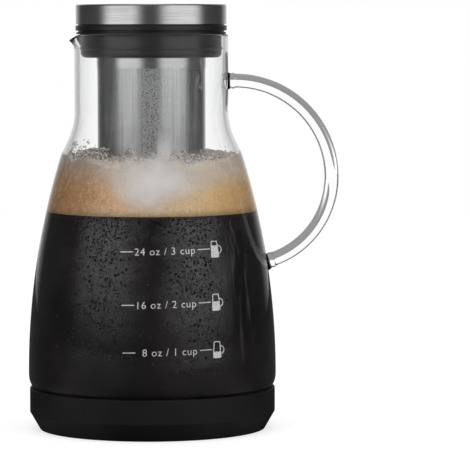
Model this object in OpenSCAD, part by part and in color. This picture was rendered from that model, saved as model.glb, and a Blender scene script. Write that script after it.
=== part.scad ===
// Cold brew coffee maker. A blown glass carafe with a fused rod handle stands in a soft
// boot. A fine mesh steel filter hangs in its neck from a black collar, and a lid with
// a steel cap plugs the collar.
// Millimetres, +Z up. The origin is on the table, on the carafe's axis.
// The spout points to -X and the handle to +X.

/* [Carafe] */
// Outside radius at the widest part
belly_r = 60.8; // [52:0.1:74]
// Outside radius of the neck
neck_r = 37.6; // [31:0.1:41]
// Height of the glass from its foot to its rim
carafe_h = 177.1; // [145:0.1:220]
// Thickness of the glass
glass_wall = 2.4; // [1.8:0.1:3]
// Radius of the round between the foot and the side
foot_round = 10.5; // [8:0.1:14]
// Length of the straight neck, down from the rim
neck_h = 38.3; // [31:0.1:46]
// Height of the bend between the neck and the shoulder
bend_h = 20.9; // [16:0.1:26]
// How far the shoulder stands out from the neck
shoulder_out = 6.9; // [4:0.1:9]
// How far the shoulder's lean carries on into the bend
bend_low_reach = 3.0; // [1:0.1:6]
// How far the neck's line carries on into the bend
bend_high_reach = 9.8; // [5:0.1:13]
// Radius that rounds each edge of the rim
rim_round = 0.8; // [0.4:0.1:0.85]

/* [Spout] */
// How far the pouring lip stands out from the neck
spout_out = 2.9; // [2:0.1:4]
// How far the lip's tip lies below the rim
spout_drop = 3.0; // [2:0.1:4]
// Height over which the lip leaves the neck
spout_rise = 5.4; // [4:0.1:8]
// Outside radius of the lip's channel
spout_r = 14; // [10:0.5:18]

/* [Handle] */
// Diameter of the glass rod
rod_d = 7; // [5.5:0.1:8.5]
// How far the rod's centre reaches out from the neck
handle_out = 50.6; // [44:0.1:60]
// Radius of the upper bend, to the rod's centre
handle_up_r = 47.1; // [39:0.1:57]
// Radius of the lower bend, to the rod's centre
handle_low_r = 42.9; // [38:0.1:50]
// Distance from the rim down to the upper joint
handle_drop = 22.9; // [18:0.1:27]
// Length of each fused joint between the rod and the wall
weld_len = 3.4; // [2.5:0.1:4.5]
// How far a fused joint flares past the rod at the wall
weld_flare = 0.9; // [0.4:0.1:1.5]

/* [Boot] */
// How far the boot's side lies inside the glass
boot_inset = 0.5; // [0:0.1:1.5]
// Height of the glass's foot above the table
boot_floor = 16.2; // [12:0.1:20]
// Height of glass that the boot wraps
boot_wrap = 4.1; // [2:0.1:6]
// Height of the chamfer round the bottom
boot_chamfer_h = 8.5; // [4:0.1:11]
// How far the chamfer runs in at the bottom
boot_chamfer_in = 4.9; // [3:0.1:8]
// Clearance between the boot's wall and the glass
boot_clear = 0.3; // [0.2:0.05:0.5]
// Radius that rounds the boot's top edge, at most half of the wall there
boot_edge = 0.8; // [0.3:0.1:0.8]
// Number of grip grooves under the boot
grip_count = 3; // [1:1:4]
// Width of a grip groove, and of the land beside it
grip_w = 5; // [3:0.5:5]
// Depth of a grip groove
grip_depth = 1.2; // [0.5:0.1:2]

/* [Collar] */
// How far the flange laps over the rim
collar_lap = 1.4; // [1:0.1:1.6]
// Thickness of the flange on the rim
collar_flange = 1.1; // [0.8:0.1:1.6]
// Depth of the collar in the neck
skirt_h = 11.4; // [9.5:0.1:14]
// Clearance between the skirt and the neck
skirt_clear = 0.8; // [0.6:0.1:1]
// Clearance between the skirt's sealing lip and the neck
lip_clear = 0.3; // [0.2:0.05:0.4]
// Height of the sealing lip's middle above the skirt's bottom
lip_rise = 4.5; // [4:0.1:6]
// Height of the sealing lip
lip_h = 2.0; // [1:0.1:2.5]
// Radius that rounds the skirt's bottom corner
skirt_round = 2.4; // [1:0.1:3]
// Thickness of the collar's wall round the lid's plug
cup_wall = 3.9; // [3:0.1:4.5]
// Thickness of the shelf that carries the filter
shelf_h = 4.0; // [3:0.1:4.5]
// Height of the bead that snaps over the filter's flange
bead_h = 0.8; // [0.6:0.1:1]
// How far the bead stands into the bore
bead_in = 1.5; // [1.2:0.1:1.8]

/* [Filter] */
// Clearance round the filter's flange
flange_clear = 1.0; // [0.8:0.1:1.1]
// Width of the filter's flange
flange_w = 2.8; // [2:0.1:3.5]
// Thickness of the filter's flange
flange_t = 1.0; // [0.6:0.1:1.2]
// Height of the plain steel band under the flange
band_h = 9.0; // [7.5:0.1:20]
// Thickness of the band and of the bottom cap
band_wall = 0.3; // [0.3:0.05:0.5]
// Thickness of the mesh
mesh_wall = 0.35; // [0.3:0.05:0.5]
// Length of mesh held inside the band and inside the bottom cap
mesh_lap = 3.0; // [2:0.1:5]
// Gap between the filter and the glass floor
filter_gap = 16.4; // [8:0.1:30]
// Height of the bottom cap
foot_cap_h = 6.0; // [5:0.1:12]
// Radius that rounds the bottom cap's corner
foot_cap_round = 1.5; // [0.6:0.1:2]
// Width of the mesh's lap seam
seam_w = 2.4; // [1.5:0.1:5]
// Thickness of the lap seam
seam_t = 0.3; // [0.2:0.05:0.5]
// Angle of the seam, measured from the front towards the spout
seam_angle = 10.9; // [0:0.1:180]

/* [Lid] */
// How far the black ring lies inside the neck's outside
ring_inset = 0.6; // [0:0.1:1]
// Height of the black ring
ring_h = 2.6; // [2:0.1:4]
// Height of the notch between the ring and the collar
notch_h = 0.6; // [0.4:0.1:1]
// Depth of the notch
notch_in = 1.3; // [0.8:0.1:1.6]
// Height of the groove between the ring and the steel cap
groove_h = 0.5; // [0.3:0.1:1]
// Height of the steel cap
cap_h = 9.7; // [8:0.1:14]
// Thickness of the steel cap
cap_wall = 0.7; // [0.5:0.1:1]
// How far the steel cap lies inside the black ring
cap_inset = 0.15; // [0:0.05:0.5]
// Radius that rounds the steel cap's top edge
cap_round = 1.0; // [0.7:0.1:1]
// Clearance between the steel cap and the core in it
cap_clear = 0.1; // [0.05:0.05:0.2]
// Thickness of the core's and the plug's walls and floors
core_wall = 2.2; // [1.5:0.1:2.4]
// Thickness of the core's ribs
rib_t = 1.4; // [1:0.1:2]
// Number of ribs across the core
rib_count = 3; // [2:1:4]
// Height of the gasket
gasket_h = 2.0; // [1.6:0.1:2.2]
// Depth of the gasket's groove in the plug
gasket_depth = 1.2; // [0.8:0.1:1.4]
// How far the gasket's lips stand out of the plug
gasket_out = 0.6; // [0.4:0.1:0.8]
// Clearance between the gasket and the collar's bore
gasket_clear = 0.3; // [0.2:0.05:0.4]

/* [Hidden] */
$fn = 96;
// Overlap that keeps cuts clean
eps = 0.01;
// Pieces in one quarter turn of a small round
quarter = 8;
// Pieces in the long curves of the carafe's side
side_steps = 24;
// Small edge break on moulded and pressed pieces
edge_break = 0.3;

// Carafe
neck_in = neck_r - glass_wall;
shoulder_r = neck_r + shoulder_out;
rim_z = boot_floor + carafe_h;
neck_z = rim_z - neck_h;
shoulder_z = neck_z - bend_h;
foot_top_z = boot_floor + foot_round;
foot_r = belly_r - foot_round;
// The belly is one arc that starts upright above the foot and ends at the shoulder
belly_run = shoulder_z - foot_top_z;
belly_lean = 2 * atan((belly_r - shoulder_r) / belly_run);
belly_arc_r = belly_run / sin(belly_lean);
belly_arc_x = belly_r - belly_arc_r;
glass_floor_z = boot_floor + glass_wall;

// Handle
handle_reach = neck_r + handle_out;
handle_z = rim_z - handle_drop - handle_up_r;
handle_up_x = handle_reach - handle_up_r;
handle_low_x = handle_reach - handle_low_r;

// Boot
boot_r = belly_r - boot_inset;
boot_h = boot_floor + boot_wrap;

// Collar, filter and lid, from the neck inwards
skirt_r = neck_in - skirt_clear;
lip_r = neck_in - lip_clear;
cup_r = skirt_r - cup_wall;
flange_r = cup_r - flange_clear;
band_r = flange_r - flange_w;
mesh_r = band_r - band_wall;
bead_r = cup_r - bead_in;
gasket_r = cup_r - gasket_clear;
plug_r = gasket_r - gasket_out;
ring_r = neck_r - ring_inset;
notch_r = ring_r - notch_in;
cap_r = ring_r - cap_inset;
boss_r = cap_r - cap_wall - cap_clear;
collar_r = neck_in + collar_lap;

// Heights of the collar, the filter and the lid
skirt_z = rim_z - skirt_h;
lip_z = skirt_z + lip_rise;
shelf_z = skirt_z + shelf_h;
band_z = shelf_z - band_h;
filter_z = glass_floor_z + filter_gap;
lid_z = rim_z + collar_flange;
plug_z = shelf_z + flange_t + bead_h + 2 * edge_break;
gasket_z = plug_z + (lid_z - plug_z - gasket_h) / 2;
ring_z = lid_z + notch_h;
groove_z = ring_z + ring_h;
cap_z = groove_z + groove_h;
lid_top_z = cap_z + cap_h;

// ---------- helpers ----------

// Points on an arc in the profile plane
function arc(x, z, r, from, to, steps) =
    [for (i = [0:steps]) let (a = from + (to - from) * i / steps) [x + r * cos(a), z + r * sin(a)]];

// Point, and direction of travel, at a share t along a cubic curve
function cubic(p, t) =
    pow(1 - t, 3) * p[0] + 3 * t * pow(1 - t, 2) * p[1] + 3 * t * t * (1 - t) * p[2] + pow(t, 3) * p[3];
function cubic_way(p, t) =
    pow(1 - t, 2) * (p[1] - p[0]) + 2 * t * (1 - t) * (p[2] - p[1]) + t * t * (p[3] - p[2]);

// The same point, moved to the left of its direction of travel
function cubic_inset(p, t, inset) =
    let (way = cubic_way(p, t)) cubic(p, t) + inset * [-way[1], way[0]] / norm(way);

// The bend from the shoulder to the neck
bend = [
    [shoulder_r, shoulder_z],
    [shoulder_r, shoulder_z] + bend_low_reach * [-sin(belly_lean), cos(belly_lean)],
    [neck_r, neck_z - bend_high_reach],
    [neck_r, neck_z]
];

// Outline of the carafe's side from its foot to its neck, moved inwards by inset
function side(inset) = concat(
    arc(foot_r, foot_top_z, foot_round - inset, -90, 0, quarter),
    [for (i = [1:side_steps])
        let (a = belly_lean * i / side_steps)
        [belly_arc_x + (belly_arc_r - inset) * cos(a), foot_top_z + (belly_arc_r - inset) * sin(a)]],
    [for (i = [1:side_steps]) cubic_inset(bend, i / side_steps, inset)]
);

// Radius of the belly's outside at a height
function belly_at(z) =
    z <= foot_top_z ? belly_r : belly_arc_x + sqrt(pow(belly_arc_r, 2) - pow(z - foot_top_z, 2));

// Angle at which the lower bend meets the belly, found by halving
function meet(low, high, steps) =
    let (mid = (low + high) / 2, z = handle_z + handle_low_r * sin(mid))
    steps == 0 ? mid
    : handle_low_x + handle_low_r * cos(mid) > belly_at(z) ? meet(low, mid, steps - 1)
    : meet(mid, high, steps - 1);

// The space inside the carafe's outer surface
module carafe_outside() {
    rotate_extrude()
        polygon(concat(
            [[0, boot_floor]],
            side(0),
            arc(neck_r - rim_round, rim_z - rim_round, rim_round, 0, 90, quarter),
            [[0, rim_z]]
        ));
}

// The space inside the carafe's inner surface, open at the top
module carafe_inside() {
    rotate_extrude()
        polygon(concat(
            [[0, glass_floor_z]],
            side(glass_wall),
            arc(neck_in + rim_round, rim_z - rim_round, rim_round, 180, 90, quarter),
            [[neck_in + rim_round, rim_z + 1], [0, rim_z + 1]]
        ));
}

// The lip's channel: an upright cylinder leaned out over the spout's tip
module lip_channel(r) {
    lean = atan(spout_out / spout_rise);
    reach = 2.2 * spout_rise;
    translate([-neck_r - spout_out, 0, rim_z - spout_drop])
        rotate([0, -lean, 0])
            translate([spout_r, 0, -reach])
                cylinder(r = r, h = 2 * reach);
}

// Everything above the rim, and above the lip's sloping edge from its tip back to the rim
module above_lip() {
    run = spout_out + rim_round + edge_break;
    width = 2 * spout_r + 2;
    translate([-neck_r - spout_out, 0, rim_z - spout_drop])
        rotate([0, -atan(spout_drop / run), 0])
            translate([-spout_r, -width / 2, 0])
                cube([spout_r + norm([run, spout_drop]), width, 2 * spout_r]);
    translate([-neck_r - spout_out - spout_r, -width / 2, rim_z])
        cube([neck_r + spout_out + spout_r, width, 2 * spout_r]);
}

// One bend of the handle's rod, from its furthest reach round to the joint. The side is
// 1 for the bend above and -1 for the bend below.
module rod_bend(x, r, sweep, side) {
    translate([x, 0, handle_z])
        rotate([90 * side, 0, 0])
            rotate_extrude(angle = sweep)
                translate([r, 0])
                    circle(d = rod_d);
}

// Angles at which the rod stops short of the wall, and its lower meeting point
rod_up_end = acos((neck_r + weld_len - handle_up_x) / handle_up_r);
rod_low_end = meet(-89, -20, 30) + weld_len / handle_low_r * 180 / PI;

// A fused joint: it starts at the rod's end, flares towards the wall and stops at it
module weld(x, r, angle, turn) {
    rod_r = rod_d / 2;
    wall_r = rod_r + weld_flare;
    difference() {
        translate([x + r * cos(angle), 0, handle_z + r * sin(angle)])
            rotate([0, 90 - angle - turn, 0])
                rotate_extrude()
                    polygon([
                        [0, 0], [rod_r, 0], [rod_r + 0.6 * weld_flare, 0.2 * weld_len],
                        [rod_r + 0.7 * weld_flare, 0.6 * weld_len], [wall_r, weld_len],
                        [wall_r, 2 * weld_len], [0, 2 * weld_len]
                    ]);
        carafe_outside();
    }
}

// ---------- sub-parts ----------

// Soft boot that the carafe's foot sits in
module base_boot() {
    cup = foot_round + boot_clear;
    cup_start = acos(foot_round / cup);
    cup_end = acos((foot_round - boot_wrap) / cup);
    lip_wall = boot_r - foot_r - cup * sin(cup_end);
    edge = min(boot_edge, lip_wall / 2);
    color([0.13, 0.13, 0.13])
        difference() {
            rotate_extrude()
                polygon(concat(
                    [[0, 0], [boot_r - boot_chamfer_in, 0], [boot_r, boot_chamfer_h]],
                    arc(boot_r - edge, boot_h - edge, edge, 0, 90, quarter),
                    arc(foot_r, foot_top_z, cup, cup_end - 90, cup_start - 90, quarter),
                    [[0, boot_floor]]
                ));
            for (i = [1:grip_count])
                translate([0, 0, -eps])
                    difference() {
                        cylinder(r = 2 * grip_w * (i + 0.5), h = grip_depth + eps);
                        translate([0, 0, -eps])
                            cylinder(r = 2 * grip_w * i, h = grip_depth + 3 * eps);
                    }
        }
}

// Blown glass body with its pouring lip
module carafe_glass() {
    color([0.8, 0.9, 0.93, 0.35])
        difference() {
            union() {
                carafe_outside();
                lip_channel(spout_r);
            }
            carafe_inside();
            lip_channel(spout_r - glass_wall);
            above_lip();
        }
}

// Bent glass rod, in two bends that meet where it reaches out furthest
module handle_rod() {
    color([0.8, 0.9, 0.93, 0.5])
        union() {
            rod_bend(handle_up_x, handle_up_r, rod_up_end, 1);
            rod_bend(handle_low_x, handle_low_r, -rod_low_end, -1);
        }
}

module handle_weld_upper() {
    color([0.75, 0.85, 0.9, 0.5])
        weld(handle_up_x, handle_up_r, rod_up_end, 90);
}

module handle_weld_lower() {
    color([0.75, 0.85, 0.9, 0.5])
        weld(handle_low_x, handle_low_r, rod_low_end, -90);
}

// Black collar: a flange on the rim, a skirt in the neck and a cup for the lid's plug
module filter_collar() {
    color([0.1, 0.1, 0.1])
        rotate_extrude()
            polygon(concat(
                [[band_r, skirt_z]],
                arc(skirt_r - skirt_round, skirt_z + skirt_round, skirt_round, -90, 0, quarter),
                [
                    [skirt_r, lip_z - lip_h / 2], [lip_r, lip_z],
                    [skirt_r, lip_z + lip_h / 2],
                    [skirt_r, rim_z], [collar_r, rim_z],
                    [collar_r, lid_z - edge_break], [collar_r - edge_break, lid_z],
                    [cup_r, lid_z],
                    [cup_r, shelf_z + flange_t + bead_h], [bead_r, shelf_z + flange_t + bead_h / 2],
                    [cup_r, shelf_z + flange_t], [cup_r, shelf_z], [band_r, shelf_z]
                ]
            ));
}

// Plain steel band that the mesh hangs from, with the flange that the collar holds
module filter_top_band() {
    color([0.7, 0.71, 0.72])
        rotate_extrude()
            polygon([
                [mesh_r, band_z], [band_r, band_z], [band_r, shelf_z],
                [flange_r, shelf_z], [flange_r, shelf_z + flange_t],
                [mesh_r, shelf_z + flange_t]
            ]);
}

// Fine mesh tube
module filter_mesh() {
    foot_z = filter_z + foot_cap_h - mesh_lap;
    color([0.62, 0.63, 0.64])
        rotate_extrude()
            translate([mesh_r - mesh_wall, foot_z])
                square([mesh_wall, band_z + mesh_lap - foot_z]);
}

// Lap seam down the outside of the mesh, between the bottom cap and the band
module filter_seam() {
    span = seam_w / mesh_r * 180 / PI;
    low_z = filter_z + foot_cap_h;
    color([0.5, 0.51, 0.52])
        rotate([0, 0, -90 - seam_angle - span / 2])
            rotate_extrude(angle = span)
                translate([mesh_r, low_z])
                    square([seam_t, band_z - low_z]);
}

// Drawn steel cap that closes the bottom of the mesh
module filter_bottom_cap() {
    color([0.7, 0.71, 0.72])
        rotate_extrude()
            polygon(concat(
                [[0, filter_z]],
                arc(band_r - foot_cap_round, filter_z + foot_cap_round, foot_cap_round, -90, 0, quarter),
                [[band_r, filter_z + foot_cap_h], [mesh_r, filter_z + foot_cap_h]],
                arc(band_r - foot_cap_round, filter_z + foot_cap_round, foot_cap_round - band_wall,
                    0, -90, quarter),
                [[0, filter_z + band_wall]]
            ));
}

// Black core of the lid: a plate with the ring that shows, and a ribbed boss that fills the
// steel cap
module lid_core() {
    boss_top_z = lid_top_z - cap_wall;
    plate_z = lid_z + core_wall;
    boss_in = boss_r - core_wall;
    color([0.1, 0.1, 0.1])
        union() {
            rotate_extrude()
                polygon([
                    [0, lid_z], [notch_r, lid_z], [notch_r, ring_z],
                    [ring_r - edge_break, ring_z], [ring_r, ring_z + edge_break],
                    [ring_r, groove_z - edge_break], [ring_r - edge_break, groove_z],
                    [boss_r - edge_break, groove_z], [boss_r - edge_break, cap_z], [boss_r, cap_z],
                    [boss_r, boss_top_z - edge_break], [boss_r - edge_break, boss_top_z],
                    [boss_in, boss_top_z], [boss_in, plate_z], [0, plate_z]
                ]);
            for (i = [0:rib_count - 1])
                rotate([0, 0, 180 * i / rib_count])
                    translate([-boss_in - eps, -rib_t / 2, plate_z - eps])
                        cube([2 * (boss_in + eps), rib_t, boss_top_z - plate_z + eps]);
        }
}

// Hollow plug, welded under the core's plate, with a groove for the gasket
module lid_plug() {
    floor_z = plug_z + core_wall;
    root_r = plug_r - gasket_depth;
    bore_r = root_r - core_wall;
    color([0.1, 0.1, 0.1])
        rotate_extrude()
            polygon([
                [0, plug_z], [plug_r - edge_break, plug_z], [plug_r, plug_z + edge_break],
                [plug_r, gasket_z], [root_r, gasket_z],
                [root_r, gasket_z + gasket_h], [plug_r, gasket_z + gasket_h],
                [plug_r, lid_z], [bore_r, lid_z],
                [bore_r, floor_z], [0, floor_z]
            ]);
}

// Soft ring with two lips, in the plug's groove
module lid_gasket() {
    root_r = plug_r - gasket_depth;
    lip = gasket_h / 4;
    color([0.2, 0.2, 0.2])
        rotate_extrude()
            polygon([
                [root_r, gasket_z], [plug_r, gasket_z], [gasket_r, gasket_z + lip],
                [plug_r, gasket_z + 2 * lip], [gasket_r, gasket_z + 3 * lip],
                [plug_r, gasket_z + 4 * lip], [root_r, gasket_z + 4 * lip]
            ]);
}

// Drawn steel cap over the core
module lid_cap() {
    inner_round = cap_round - cap_wall;
    color([0.72, 0.73, 0.74])
        rotate_extrude()
            polygon(concat(
                [[cap_r - cap_wall, cap_z], [cap_r, cap_z]],
                arc(cap_r - cap_round, lid_top_z - cap_round, cap_round, 0, 90, quarter),
                [[0, lid_top_z], [0, lid_top_z - cap_wall]],
                arc(cap_r - cap_round, lid_top_z - cap_round, inner_round, 90, 0, quarter)
            ));
}

base_boot();
carafe_glass();
handle_rod();
handle_weld_upper();
handle_weld_lower();
filter_collar();
filter_top_band();
filter_mesh();
filter_seam();
filter_bottom_cap();
lid_core();
lid_plug();
lid_gasket();
lid_cap();
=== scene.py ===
"""Cold brew coffee maker: its finishes, glass, coffee, water and studio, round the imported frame."""

import math
import random

import bmesh
import bpy
from mathutils import Matrix, Vector


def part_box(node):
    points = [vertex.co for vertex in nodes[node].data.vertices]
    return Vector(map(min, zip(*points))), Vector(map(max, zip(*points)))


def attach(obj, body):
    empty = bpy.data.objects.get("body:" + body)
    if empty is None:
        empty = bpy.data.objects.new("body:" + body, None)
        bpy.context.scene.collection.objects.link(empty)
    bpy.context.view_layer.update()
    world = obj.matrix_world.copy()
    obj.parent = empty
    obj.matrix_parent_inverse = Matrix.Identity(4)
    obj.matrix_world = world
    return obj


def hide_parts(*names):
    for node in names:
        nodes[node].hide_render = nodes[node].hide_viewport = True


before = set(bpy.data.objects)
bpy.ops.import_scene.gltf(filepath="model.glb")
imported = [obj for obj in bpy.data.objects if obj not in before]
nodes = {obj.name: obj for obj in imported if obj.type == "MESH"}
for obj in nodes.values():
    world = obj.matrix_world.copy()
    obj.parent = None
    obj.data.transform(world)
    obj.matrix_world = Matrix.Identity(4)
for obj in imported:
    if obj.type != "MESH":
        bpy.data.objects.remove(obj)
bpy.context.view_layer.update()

MM = 0.001
TURN = 2 * math.pi

# -------- sizes, in metres, as the CAD model has them
BELLY_R = 60.8 * MM
NECK_R = 37.6 * MM
WALL = 2.4 * MM
GLASS_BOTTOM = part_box("carafe_glass")[0].z
RIM_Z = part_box("carafe_glass")[1].z
FOOT_ROUND = 10.5 * MM
FOOT_TOP_Z = GLASS_BOTTOM + FOOT_ROUND
BEND_TOP_Z = RIM_Z - 38.3 * MM
BEND_LOW_Z = BEND_TOP_Z - 20.9 * MM
SHOULDER_R = NECK_R + 6.9 * MM
BEND_LOW_REACH = 3.0 * MM
BEND_HIGH_REACH = 9.8 * MM
RIM_ROUND = 0.8 * MM

# The belly's side is one arc, from upright at the foot to leaning in at the shoulder.
BELLY_RUN = BEND_LOW_Z - FOOT_TOP_Z
BELLY_LEAN = 2 * math.atan((BELLY_R - SHOULDER_R) / BELLY_RUN)
BELLY_ARC_R = BELLY_RUN / math.sin(BELLY_LEAN)
BELLY_ARC_X = BELLY_R - BELLY_ARC_R

SPOUT_OUT = 2.9 * MM
SPOUT_DROP = 3.0 * MM
SPOUT_RUN = 8.4 * MM
SPOUT_HALF = math.radians(24)

ROD_R = 3.5 * MM
HANDLE_Z = GLASS_BOTTOM + 107.1 * MM
HANDLE_OUT_X = 88.2 * MM
HANDLE_UP_R = 47.1 * MM
HANDLE_LOW_R = 42.9 * MM
WELD_LEN = 3.4 * MM
WELD_FLARE = 0.9 * MM

FILTER_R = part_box("filter_mesh")[1].x

# -------- sizes of what the maker holds
COFFEE_Z = GLASS_BOTTOM + 90.3 * MM
FOAM_TOP_Z = GLASS_BOTTOM + 118.3 * MM
# Coffee wets the glass, so its side lies a hair inside the wall, and no air shows between them.
WET = 0.08 * MM
FILL_GAP = 0.15 * MM


# -------- shader helpers
def set_inputs(node, inputs):
    """Links or fills a node's inputs, by name or number."""
    for name, value in inputs.items():
        if isinstance(value, bpy.types.NodeSocket):
            node.id_data.links.new(value, node.inputs[name])
        else:
            node.inputs[name].default_value = value


def add_node(tree, kind, inputs=None, **settings):
    """Adds a node with its settings and inputs."""
    made = tree.nodes.new(kind)
    for name, value in settings.items():
        setattr(made, name, value)
    set_inputs(made, inputs or {})
    return made


def math_node(tree, operation, *values, clamp=False):
    """The result of a Math node on one to three numbers or sockets."""
    made = add_node(tree, "ShaderNodeMath", dict(enumerate(values)), operation=operation, use_clamp=clamp)
    return made.outputs[0]


def times(tree, product, *values):
    """The product of two or more numbers or sockets."""
    for value in values:
        product = math_node(tree, "MULTIPLY", product, value)
    return product


def larger(tree, first, second):
    """The larger of two values at each place."""
    return math_node(tree, "MAXIMUM", first, second)


def off_from(tree, value, middle=0.0):
    """How far a value is from the middle, to either side."""
    return math_node(tree, "ABSOLUTE", math_node(tree, "SUBTRACT", value, middle))


def flat_length(tree, across, up):
    """The length of a flat vector, from its two parts."""
    return math_node(tree, "SQRT", math_node(tree, "MULTIPLY_ADD", across, across, times(tree, up, up)))


def span(tree, value, low, high, low_gives=0.0, high_gives=1.0, **settings):
    """Turns low to high into 0 to 1, or into the two numbers given, and clamps what lies outside."""
    inputs = {0: value, 1: low, 2: high, 3: low_gives, 4: high_gives}
    return add_node(tree, "ShaderNodeMapRange", inputs, **settings).outputs[0]


def grey(brightness):
    """A grey as (r, g, b)."""
    return (brightness, brightness, brightness)


def mix_colour(tree, share, first, second):
    """The colour at a share from 0 to 1 between two, each a socket or (r, g, b)."""
    first, second = [c if isinstance(c, bpy.types.NodeSocket) else (*c, 1) for c in (first, second)]
    return add_node(tree, "ShaderNodeMix", {0: share, 6: first, 7: second}, data_type="RGBA").outputs[2]


def mix_number(tree, share, first, second):
    """The number at a share from 0 to 1 between two numbers or sockets."""
    return add_node(tree, "ShaderNodeMix", {0: share, 2: first, 3: second}, data_type="FLOAT").outputs[0]


def ramp(tree, value, stops):
    """A Color Ramp over (place, colour) stops."""
    made = add_node(tree, "ShaderNodeValToRGB", {0: value})
    for place, colour in stops[1:-1]:
        made.color_ramp.elements.new(place)
    for element, (place, colour) in zip(made.color_ramp.elements, stops):
        element.position = place
        element.color = (*colour, 1)
    return made.outputs[0]


def object_place(tree):
    """The Object coordinates, in metres."""
    return add_node(tree, "ShaderNodeTexCoord").outputs["Object"]


def axes(tree, place):
    """The X, Y and Z of a place."""
    return tuple(add_node(tree, "ShaderNodeSeparateXYZ", {0: place}).outputs)


def turn_from_front(tree, x, y):
    """The angle round the maker's axis from the front, in radians, towards the handle."""
    return math_node(tree, "ARCTAN2", x, times(tree, y, -1.0))


def noise(tree, place, scale, detail=2.0, roughness=0.5):
    """Noise about 0.5. The scale is patches to the metre."""
    inputs = {"Vector": place, "Scale": scale, "Detail": detail, "Roughness": roughness}
    return add_node(tree, "ShaderNodeTexNoise", inputs).outputs[0]


def stretched_noise(tree, place, scale):
    """Noise with its own scale along each axis."""
    return noise(tree, add_node(tree, "ShaderNodeMapping", {"Vector": place, "Scale": scale}).outputs[0], 1.0)


def cells(tree, place, scale, randomness=1.0):
    """How far a place is from the middle of its round cell. The scale is cells to the metre."""
    inputs = {"Vector": place, "Scale": scale, "Randomness": randomness}
    return add_node(tree, "ShaderNodeTexVoronoi", inputs).outputs["Distance"]


def bump(tree, height, strength, distance):
    """The surface's direction, bumped by a height."""
    inputs = {"Height": height, "Strength": strength, "Distance": distance}
    return add_node(tree, "ShaderNodeBump", inputs).outputs[0]


def new_material(name, **constants):
    """A material with one Principled shader, whose unchanging numbers and colours are set on its sockets."""
    made = bpy.data.materials.new(name)
    made.use_nodes = True
    shader = made.node_tree.nodes["Principled BSDF"]
    set_inputs(shader, {socket.replace("_", " "): value for socket, value in constants.items()})
    return made, made.node_tree, shader


def blend_surface(tree, share, first, second):
    """Shows a mix of two shaders as the material's surface."""
    mixed = add_node(tree, "ShaderNodeMixShader", {0: share, 1: first.outputs[0], 2: second.outputs[0]})
    set_inputs(tree.nodes["Material Output"], {"Surface": mixed.outputs[0]})


def new_group(name, inputs, outputs):
    """A shader node group of numbers. Its inputs are (name, default), and its outputs are names."""
    tree = bpy.data.node_groups.new(name, "ShaderNodeTree")
    for label, default in inputs:
        socket = tree.interface.new_socket(label, in_out="INPUT", socket_type="NodeSocketFloat")
        socket.default_value = default
    for label in outputs:
        tree.interface.new_socket(label, in_out="OUTPUT", socket_type="NodeSocketFloat")
    return tree, tree.nodes.new("NodeGroupInput").outputs, tree.nodes.new("NodeGroupOutput")


def place_group(tree, group, **values):
    """A group placed in a material with its own values."""
    made = add_node(tree, "ShaderNodeGroup", node_tree=group)
    set_inputs(made, {label.replace("_", " "): value for label, value in values.items()})
    return made.outputs


# -------- effects that several materials share
def moulded_grain():
    """The fine uneven skin of moulded silicone and plastic: a height for the bump, and a soft shade."""
    tree, given, out = new_group("moulded_grain", [("Grain Size", 0.5 * MM), ("Shade Size", 20 * MM)],
                                 ["Height", "Shade"])
    place = object_place(tree)
    fine = math_node(tree, "DIVIDE", 1.0, given["Grain Size"])
    wide = math_node(tree, "DIVIDE", 1.0, given["Shade Size"])
    set_inputs(out, {"Height": noise(tree, place, fine, 2.0, 0.6), "Shade": noise(tree, place, wide, 3.0)})
    return tree


def brushed_lines():
    """Fine lines brushed round a turned part: level along its side, and in rings on its top."""
    tree, given, out = new_group("brushed_lines", [("Line Width", 0.3 * MM), ("Line Length", 30 * MM)],
                                 ["Lines", "Patches"])
    place = object_place(tree)
    x, y, z = axes(tree, place)
    reach = flat_length(tree, y, x)
    across = math_node(tree, "DIVIDE", math_node(tree, "ADD", z, reach), given["Line Width"])
    along_x = math_node(tree, "DIVIDE", x, given["Line Length"])
    along_y = math_node(tree, "DIVIDE", y, given["Line Length"])
    stretched = add_node(tree, "ShaderNodeCombineXYZ", {0: along_x, 1: along_y, 2: across}).outputs[0]
    set_inputs(out, {"Lines": noise(tree, stretched, 1.0, 3.0, 0.65), "Patches": noise(tree, place, 60.0)})
    return tree


GRAIN = moulded_grain()
BRUSHED = brushed_lines()
# How far the roughness of a moulded or brushed part wanders to each side.
UNEVEN_GLOSS = 0.05


# -------- finishes
def moulded(name, dark, light, roughness, bump_height, **constants):
    """Black silicone or plastic as it leaves the mould: two close tones, a fine grain and uneven gloss."""
    made, tree, shader = new_material(name, **constants)
    grain = place_group(tree, GRAIN, Grain_Size=0.4 * MM, Shade_Size=25 * MM)
    shade = span(tree, grain["Shade"], 0.35, 0.65)
    height = grain["Height"]
    set_inputs(shader, {
        "Base Color": mix_colour(tree, shade, dark, light),
        "Roughness": span(tree, height, 0.3, 0.7, roughness - UNEVEN_GLOSS, roughness + UNEVEN_GLOSS),
        "Normal": bump(tree, height, 0.4, bump_height),
    })
    return made


def brushed_steel(name, dark, light, roughness):
    """Stainless steel brushed round, in streaks that are lighter and darker, rougher and smoother."""
    made, tree, shader = new_material(name, Metallic=1.0)
    brushed = place_group(tree, BRUSHED, Line_Width=0.25 * MM, Line_Length=30 * MM)
    lines = span(tree, brushed["Lines"], 0.3, 0.7)
    patches = span(tree, brushed["Patches"], 0.35, 0.65)
    tone = math_node(tree, "MULTIPLY_ADD", lines, 0.65, times(tree, patches, 0.35))
    set_inputs(shader, {
        "Base Color": mix_colour(tree, tone, dark, light),
        "Roughness": span(tree, lines, 0.0, 1.0, roughness + UNEVEN_GLOSS, roughness - UNEVEN_GLOSS),
        "Normal": bump(tree, lines, 0.5, 0.004 * MM),
    })
    return made


HOLES_ROUND = 264.0
HOLE_ROW_STEP = 0.54 * MM
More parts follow.
